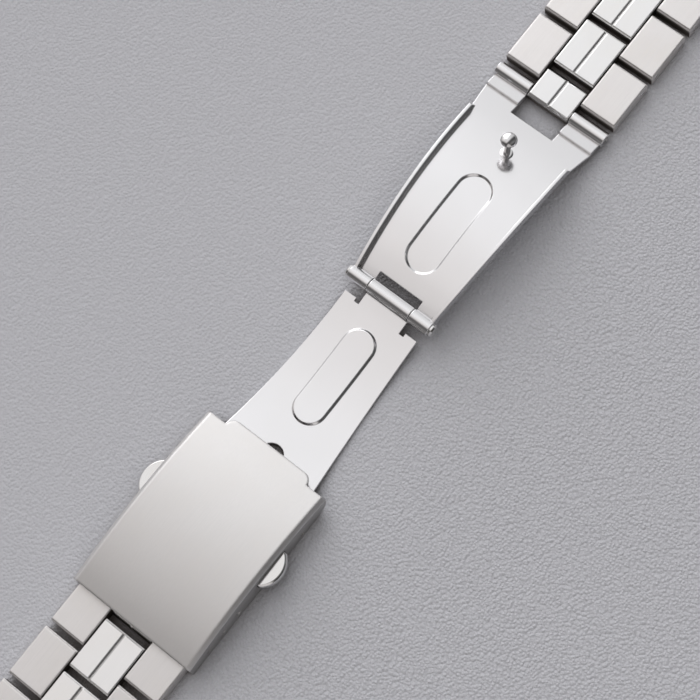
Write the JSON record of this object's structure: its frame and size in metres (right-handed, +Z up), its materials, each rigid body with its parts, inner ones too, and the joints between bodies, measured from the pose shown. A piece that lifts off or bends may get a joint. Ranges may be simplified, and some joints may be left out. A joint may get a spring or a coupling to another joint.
{
  "type": "link watch bracelet",
  "caption": "Metal link bracelet for a watch, lying open: rows of satin outer and polished centre links joined by a folding clasp with two push buttons.",
  "frame": {"origin": "middle of the open bracelet's box, on the surface that it lies on", "axes": "+X runs along the bracelet from the cover side to the blade side, +Y across it, +Z up, out of its worn face"},
  "size_m": [0.2164, 0.0258, 0.0087],
  "materials": {
    "link_satin": "satin, brushed along the bracelet",
    "link_polished": "polished",
    "cover_satin": "satin, brushed along the bracelet",
    "blade_mirror": "mirror polished",
    "button_polished": "polished",
    "stud_polished": "polished",
    "cage_steel": "plain stamped sheet",
    "spring_steel": "plain",
    "pin_polished": "polished"
  },
  "bodies": {
    "clasp_cover": {"clasp_cover": "cover_satin", "latch_cage": "cage_steel", "cover_hinge_pin": "pin_polished", "button_spring_left": "spring_steel", "button_spring_right": "spring_steel", "spring_bar_tube": "spring_steel", "spring_bar_spring": "spring_steel"},
    "push_button_left": {"push_button_left": "button_polished"},
    "push_button_right": {"push_button_right": "button_polished"},
    "spring_bar_tip_left": {"spring_bar_tip_left": "spring_steel"},
    "spring_bar_tip_right": {"spring_bar_tip_right": "spring_steel"},
    "middle_blade": {"middle_blade": "blade_mirror"},
    "base_blade": {"base_blade": "blade_mirror", "blade_hinge_pin": "pin_polished", "latch_stud": "stud_polished", "base_link_pin": "pin_polished"},
    "cover_half_link": {"cover_half_links": "link_polished"},
    "base_half_link": {"base_half_links": "link_polished"},
    "cover_row_1": {"cover_row_1_outer_links": "link_satin", "cover_row_1_centre_links": "link_polished"},
    "cover_row_2": {"cover_row_2_outer_links": "link_satin", "cover_row_2_centre_links": "link_polished"},
    "cover_row_3": {"cover_row_3_outer_links": "link_satin", "cover_row_3_centre_links": "link_polished"},
    "cover_row_4": {"cover_row_4_outer_links": "link_satin", "cover_row_4_centre_links": "link_polished"},
    "cover_row_5": {"cover_row_5_outer_links": "link_satin", "cover_row_5_centre_links": "link_polished"},
    "cover_end": {"cover_end_link": "link_satin"},
    "base_row_1": {"base_row_1_outer_links": "link_satin", "base_row_1_centre_links": "link_polished"},
    "base_row_2": {"base_row_2_outer_links": "link_satin", "base_row_2_centre_links": "link_polished"},
    "base_row_3": {"base_row_3_outer_links": "link_satin", "base_row_3_centre_links": "link_polished"},
    "base_row_4": {"base_row_4_outer_links": "link_satin", "base_row_4_centre_links": "link_polished"},
    "base_row_5": {"base_row_5_outer_links": "link_satin", "base_row_5_centre_links": "link_polished"},
    "base_end": {"base_end_link": "link_satin"}
  },
  "joints": [
    {"name": "blade_fold", "type": "hinge", "parent": "clasp_cover", "child": "middle_blade", "pos_m": [-0.02632, 0, 0.00138], "axis": [0, 1, 0], "range_deg": [0, 171.89]},
    {"name": "base_fold", "type": "hinge", "parent": "middle_blade", "child": "base_blade", "pos_m": [0.00863, 0, 0.00319], "axis": [0, 1, 0], "range_deg": [-180.42, 0]},
    {"name": "left_button_press", "type": "slide", "parent": "clasp_cover", "child": "push_button_left", "axis": [0, -1, 0], "range_m": [0, 0.0009], "stiffness_N_per_m": 600, "springref_m": -0.0006, "deforming": ["button_spring_left"]},
    {"name": "right_button_press", "type": "slide", "parent": "clasp_cover", "child": "push_button_right", "axis": [0, 1, 0], "range_m": [0, 0.0009], "stiffness_N_per_m": 600, "springref_m": -0.0006, "deforming": ["button_spring_right"]},
    {"name": "left_tip_press", "type": "slide", "parent": "clasp_cover", "child": "spring_bar_tip_left", "axis": [0, -1, 0], "range_m": [0, 0.001], "stiffness_N_per_m": 800, "springref_m": -0.0006, "deforming": ["spring_bar_spring"]},
    {"name": "right_tip_press", "type": "slide", "parent": "clasp_cover", "child": "spring_bar_tip_right", "axis": [0, 1, 0], "range_m": [0, 0.001], "stiffness_N_per_m": 800, "springref_m": -0.0006, "deforming": ["spring_bar_spring"]},
    {"name": "cover_half_link_hinge", "type": "hinge", "parent": "clasp_cover", "child": "cover_half_link", "pos_m": [-0.04762, 0, 0.0018], "axis": [0, -1, 0], "range_deg": [-2, 2]},
    {"name": "base_half_link_hinge", "type": "hinge", "parent": "base_blade", "child": "base_half_link", "pos_m": [0.04758, 0, 0.0013], "axis": [0, 1, 0], "range_deg": [-10, 12]},
    {"name": "cover_row_1_hinge", "type": "hinge", "parent": "cover_half_link", "child": "cover_row_1", "pos_m": [-0.05078, 0, 0.0013], "axis": [0, -1, 0], "range_deg": [-8, 10]},
    {"name": "cover_row_2_hinge", "type": "hinge", "parent": "cover_row_1", "child": "cover_row_2", "pos_m": [-0.06028, 0, 0.0013], "axis": [0, -1, 0], "range_deg": [-15, 22]},
    {"name": "cover_row_3_hinge", "type": "hinge", "parent": "cover_row_2", "child": "cover_row_3", "pos_m": [-0.06978, 0, 0.0013], "axis": [0, -1, 0], "range_deg": [-15, 22]},
    {"name": "cover_row_4_hinge", "type": "hinge", "parent": "cover_row_3", "child": "cover_row_4", "pos_m": [-0.07928, 0, 0.0013], "axis": [0, -1, 0], "range_deg": [-15, 22]},
    {"name": "cover_row_5_hinge", "type": "hinge", "parent": "cover_row_4", "child": "cover_row_5", "pos_m": [-0.08878, 0, 0.0013], "axis": [0, -1, 0], "range_deg": [-15, 22]},
    {"name": "cover_end_hinge", "type": "hinge", "parent": "cover_row_5", "child": "cover_end", "pos_m": [-0.09828, 0, 0.0013], "axis": [0, -1, 0], "range_deg": [-15, 22]},
    {"name": "base_row_1_hinge", "type": "hinge", "parent": "base_half_link", "child": "base_row_1", "pos_m": [0.05078, 0, 0.0013], "axis": [0, 1, 0], "range_deg": [-15, 20]},
    {"name": "base_row_2_hinge", "type": "hinge", "parent": "base_row_1", "child": "base_row_2", "pos_m": [0.06028, 0, 0.0013], "axis": [0, 1, 0], "range_deg": [-15, 22]},
    {"name": "base_row_3_hinge", "type": "hinge", "parent": "base_row_2", "child": "base_row_3", "pos_m": [0.06978, 0, 0.0013], "axis": [0, 1, 0], "range_deg": [-15, 22]},
    {"name": "base_row_4_hinge", "type": "hinge", "parent": "base_row_3", "child": "base_row_4", "pos_m": [0.07928, 0, 0.0013], "axis": [0, 1, 0], "range_deg": [-15, 22]},
    {"name": "base_row_5_hinge", "type": "hinge", "parent": "base_row_4", "child": "base_row_5", "pos_m": [0.08878, 0, 0.0013], "axis": [0, 1, 0], "range_deg": [-15, 22]},
    {"name": "base_end_hinge", "type": "hinge", "parent": "base_row_5", "child": "base_end", "pos_m": [0.09828, 0, 0.0013], "axis": [0, 1, 0], "range_deg": [-15, 22]}
  ],
  "couplings": [
    {"joint": "base_fold", "follows": "blade_fold", "ratio": -1.0493}
  ]
}
